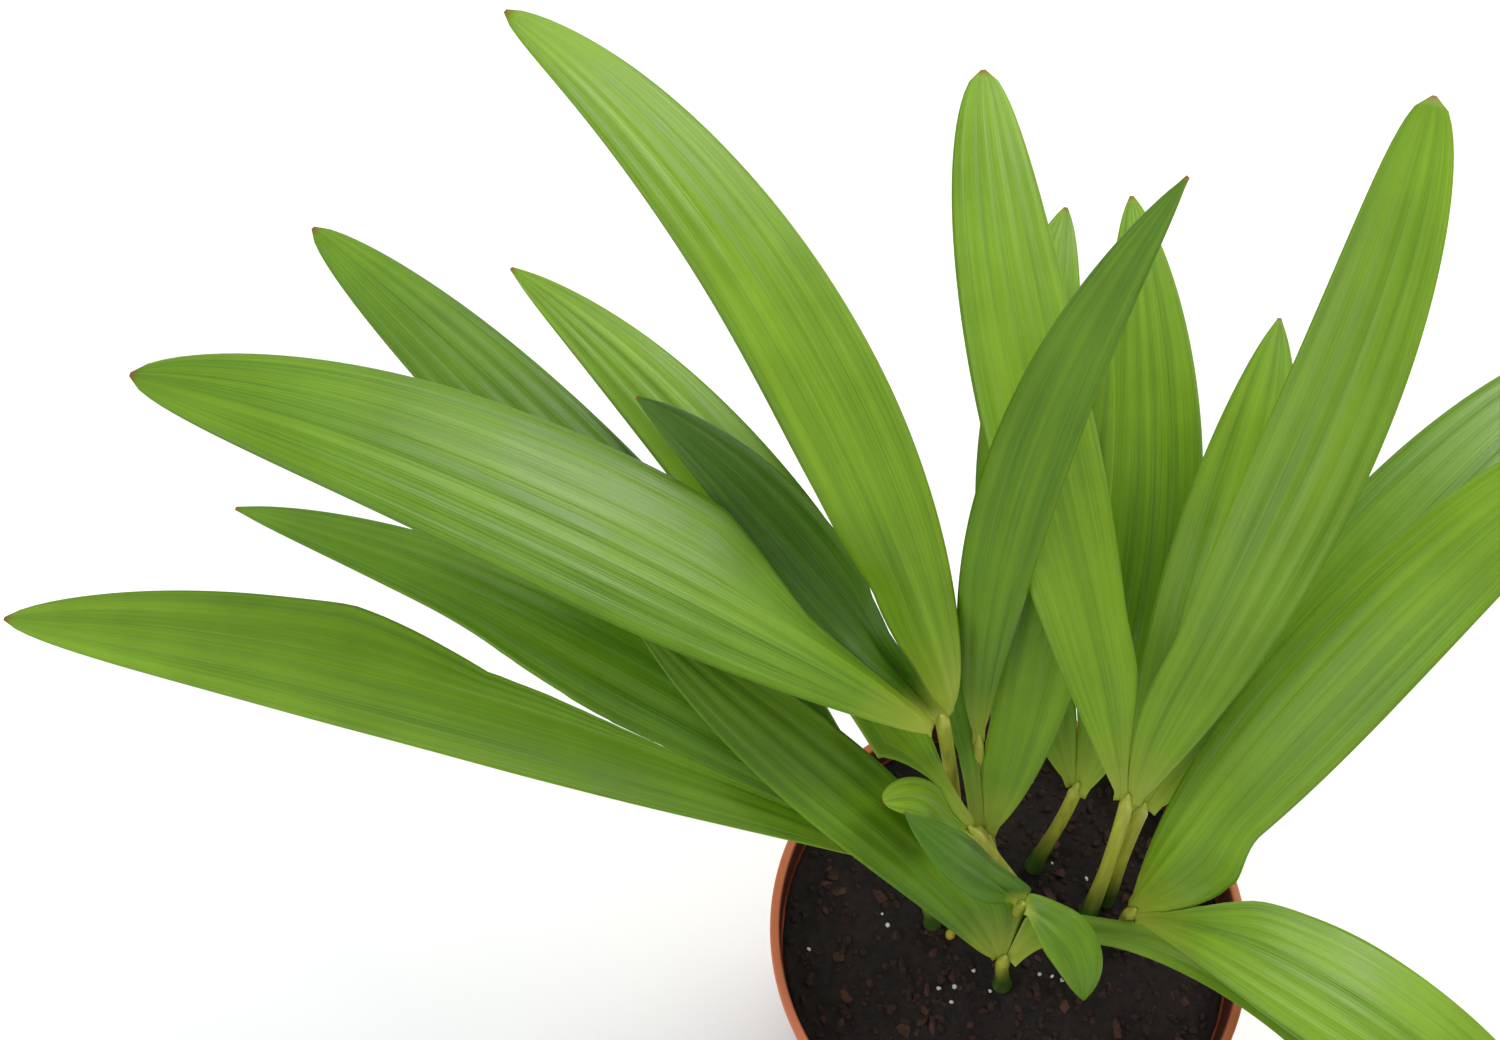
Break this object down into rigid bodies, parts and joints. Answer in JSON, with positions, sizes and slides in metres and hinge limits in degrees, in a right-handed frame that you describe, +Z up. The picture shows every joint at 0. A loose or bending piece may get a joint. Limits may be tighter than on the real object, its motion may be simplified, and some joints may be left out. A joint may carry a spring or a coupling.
{
  "type": "potted palm seedlings",
  "caption": "Clump of young areca palm seedlings with long lobed leaves in a small round plastic nursery pot filled with compost.",
  "frame": {"origin": "middle of the pot's flat underside", "axes": "+Z up, -Y towards the front of the pot"},
  "size_m": [0.3837, 0.3666, 0.3004],
  "materials": {
    "terracotta_plastic": "satin",
    "moist_compost": "rough",
    "petiole_green": "satin",
    "leaf_green": "satin"
  },
  "bodies": {
    "root": {"pot": "terracotta_plastic", "compost": "moist_compost", "petiole_a": "petiole_green", "frond_a_left": "leaf_green", "frond_a_middle": "leaf_green", "frond_a_right": "leaf_green", "petiole_b": "petiole_green", "frond_b_left": "leaf_green", "frond_b_middle": "leaf_green", "frond_b_right": "leaf_green", "petiole_c": "petiole_green", "frond_c_left": "leaf_green", "frond_c_right": "leaf_green", "petiole_d": "petiole_green", "frond_d_left": "leaf_green", "frond_d_right": "leaf_green", "petiole_e": "petiole_green", "frond_e_left": "leaf_green", "frond_e_right": "leaf_green", "petiole_f": "petiole_green", "frond_f_left": "leaf_green", "frond_f_right": "leaf_green", "petiole_g": "petiole_green", "frond_g_left": "leaf_green", "frond_g_right": "leaf_green", "petiole_h": "petiole_green", "frond_h_left": "leaf_green", "frond_h_right": "leaf_green", "petiole_k": "petiole_green", "frond_k_left": "leaf_green", "frond_k_right": "leaf_green", "petiole_m": "petiole_green", "frond_m_only": "leaf_green", "petiole_n": "petiole_green", "frond_n_left": "leaf_green", "frond_n_right": "leaf_green", "petiole_p": "petiole_green", "frond_p_left": "leaf_green", "frond_p_right": "leaf_green", "petiole_q": "petiole_green", "frond_q_left": "leaf_green", "frond_q_right": "leaf_green"}
  },
  "joints": []
}
